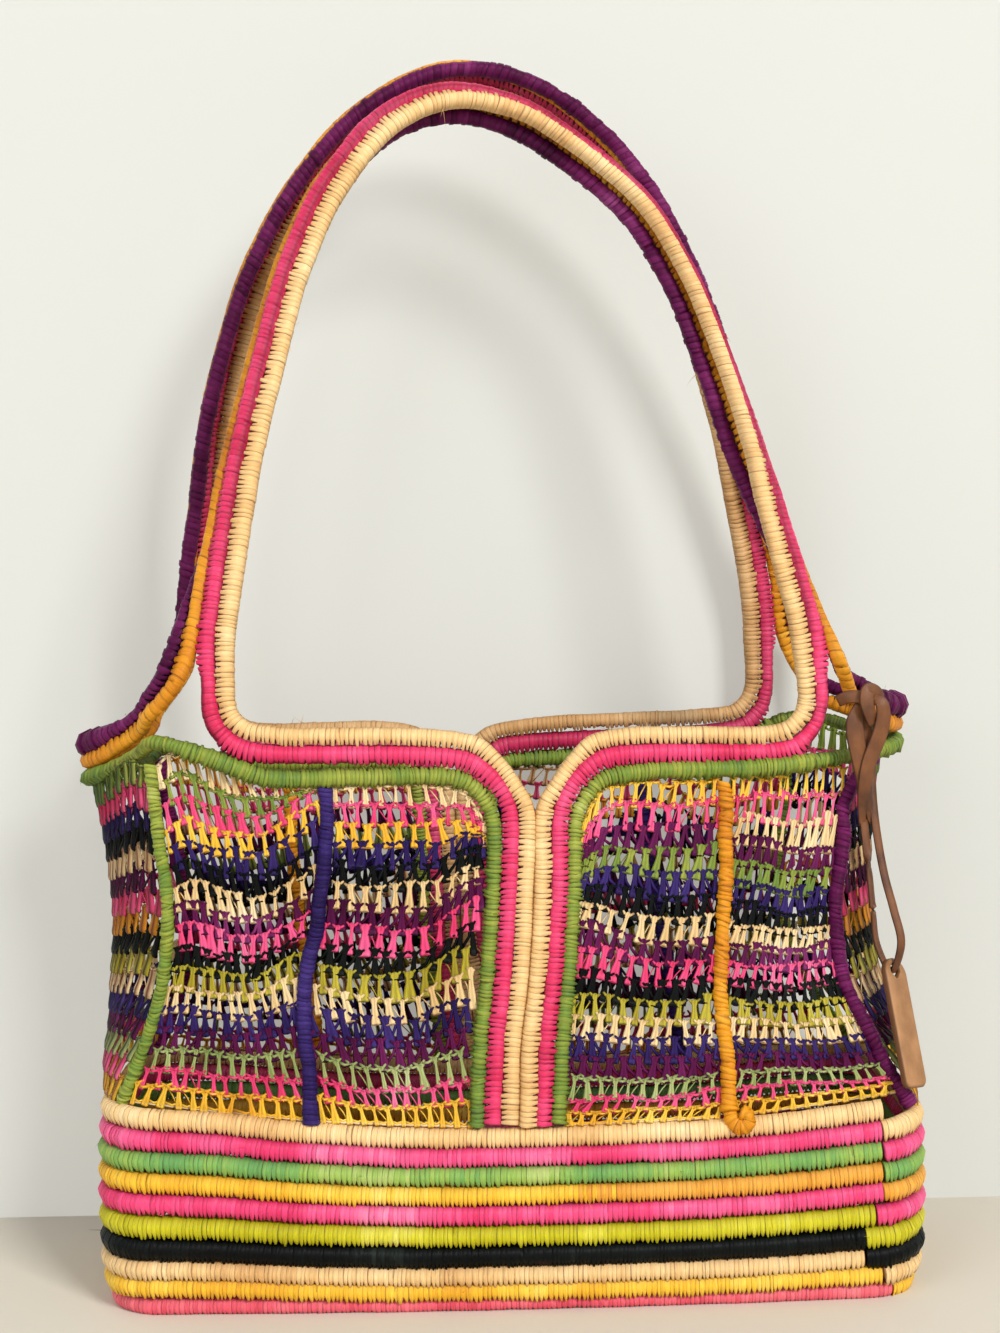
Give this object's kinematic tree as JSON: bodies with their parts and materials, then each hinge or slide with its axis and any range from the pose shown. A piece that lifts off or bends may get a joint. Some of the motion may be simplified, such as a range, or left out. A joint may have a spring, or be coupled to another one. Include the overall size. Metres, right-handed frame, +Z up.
{
  "type": "open-weave raffia tote bag",
  "caption": "Tote bag with a coiled raffia base, open woven net sides held by wrapped ribs, two tall curved coiled handles and a small leather tag on a tie.",
  "frame": {"origin": "Middle of the overall box, at the underside of the coiled floor.", "axes": "+Z up towards the handles, -Y the front that carries the clearest handle and the leather tie, +X to the right of someone facing the front."},
  "size_m": [0.3257, 0.1182, 0.4754],
  "materials": {
    "raffia_natural": "matt wrapped raffia straw",
    "raffia_pink": "matt wrapped raffia straw",
    "raffia_green": "matt wrapped raffia straw",
    "raffia_orange": "matt wrapped raffia straw",
    "raffia_purple": "matt wrapped raffia straw",
    "raffia_violet": "matt wrapped raffia straw",
    "raffia_salmon": "matt wrapped raffia straw",
    "raffia_yellow": "matt wrapped raffia straw",
    "raffia_black": "matt wrapped raffia straw",
    "raffia_lime": "matt wrapped raffia straw",
    "net_raffia": "open woven raffia in bands of many colours, shown by its average",
    "leather_tan": "worn tan leather, slightly waxy"
  },
  "bodies": {
    "root": {"wall_coil_01_salmon": "raffia_salmon", "wall_coil_02_yellow": "raffia_yellow", "wall_coil_03_natural": "raffia_natural", "wall_coil_04_black": "raffia_black", "wall_coil_05_lime": "raffia_lime", "wall_coil_06_pink": "raffia_pink", "wall_coil_07_orange": "raffia_orange", "wall_coil_08_green": "raffia_green", "wall_coil_09_pink": "raffia_pink", "wall_coil_10_natural": "raffia_natural", "floor": "raffia_pink", "handle_coil_natural_front": "raffia_natural", "handle_coil_pink_front": "raffia_pink", "handle_coil_natural_back": "raffia_natural", "handle_coil_pink_back": "raffia_pink", "rim_coil_green_left": "raffia_green", "rim_coil_green_right": "raffia_green", "handle_ring_orange": "raffia_orange", "handle_ring_purple": "raffia_purple", "corner_rib_front_left": "raffia_green", "corner_rib_front_right": "raffia_purple", "corner_rib_back_left": "raffia_purple", "corner_rib_back_right": "raffia_green", "rib_violet_front": "raffia_violet", "rib_violet_back": "raffia_violet", "rib_orange_front": "raffia_orange", "rib_orange_back": "raffia_orange", "net_front_left_inner": "net_raffia", "net_front_left_outer": "net_raffia", "net_front_right_inner": "net_raffia", "net_front_right_outer": "net_raffia", "net_back_left_inner": "net_raffia", "net_back_left_outer": "net_raffia", "net_back_right_inner": "net_raffia", "net_back_right_outer": "net_raffia", "net_side_left": "net_raffia", "net_side_right": "net_raffia", "tie_knot": "leather_tan", "tie_tail": "leather_tan", "tie_thong": "leather_tan", "tie_tag": "leather_tan"}
  },
  "joints": []
}
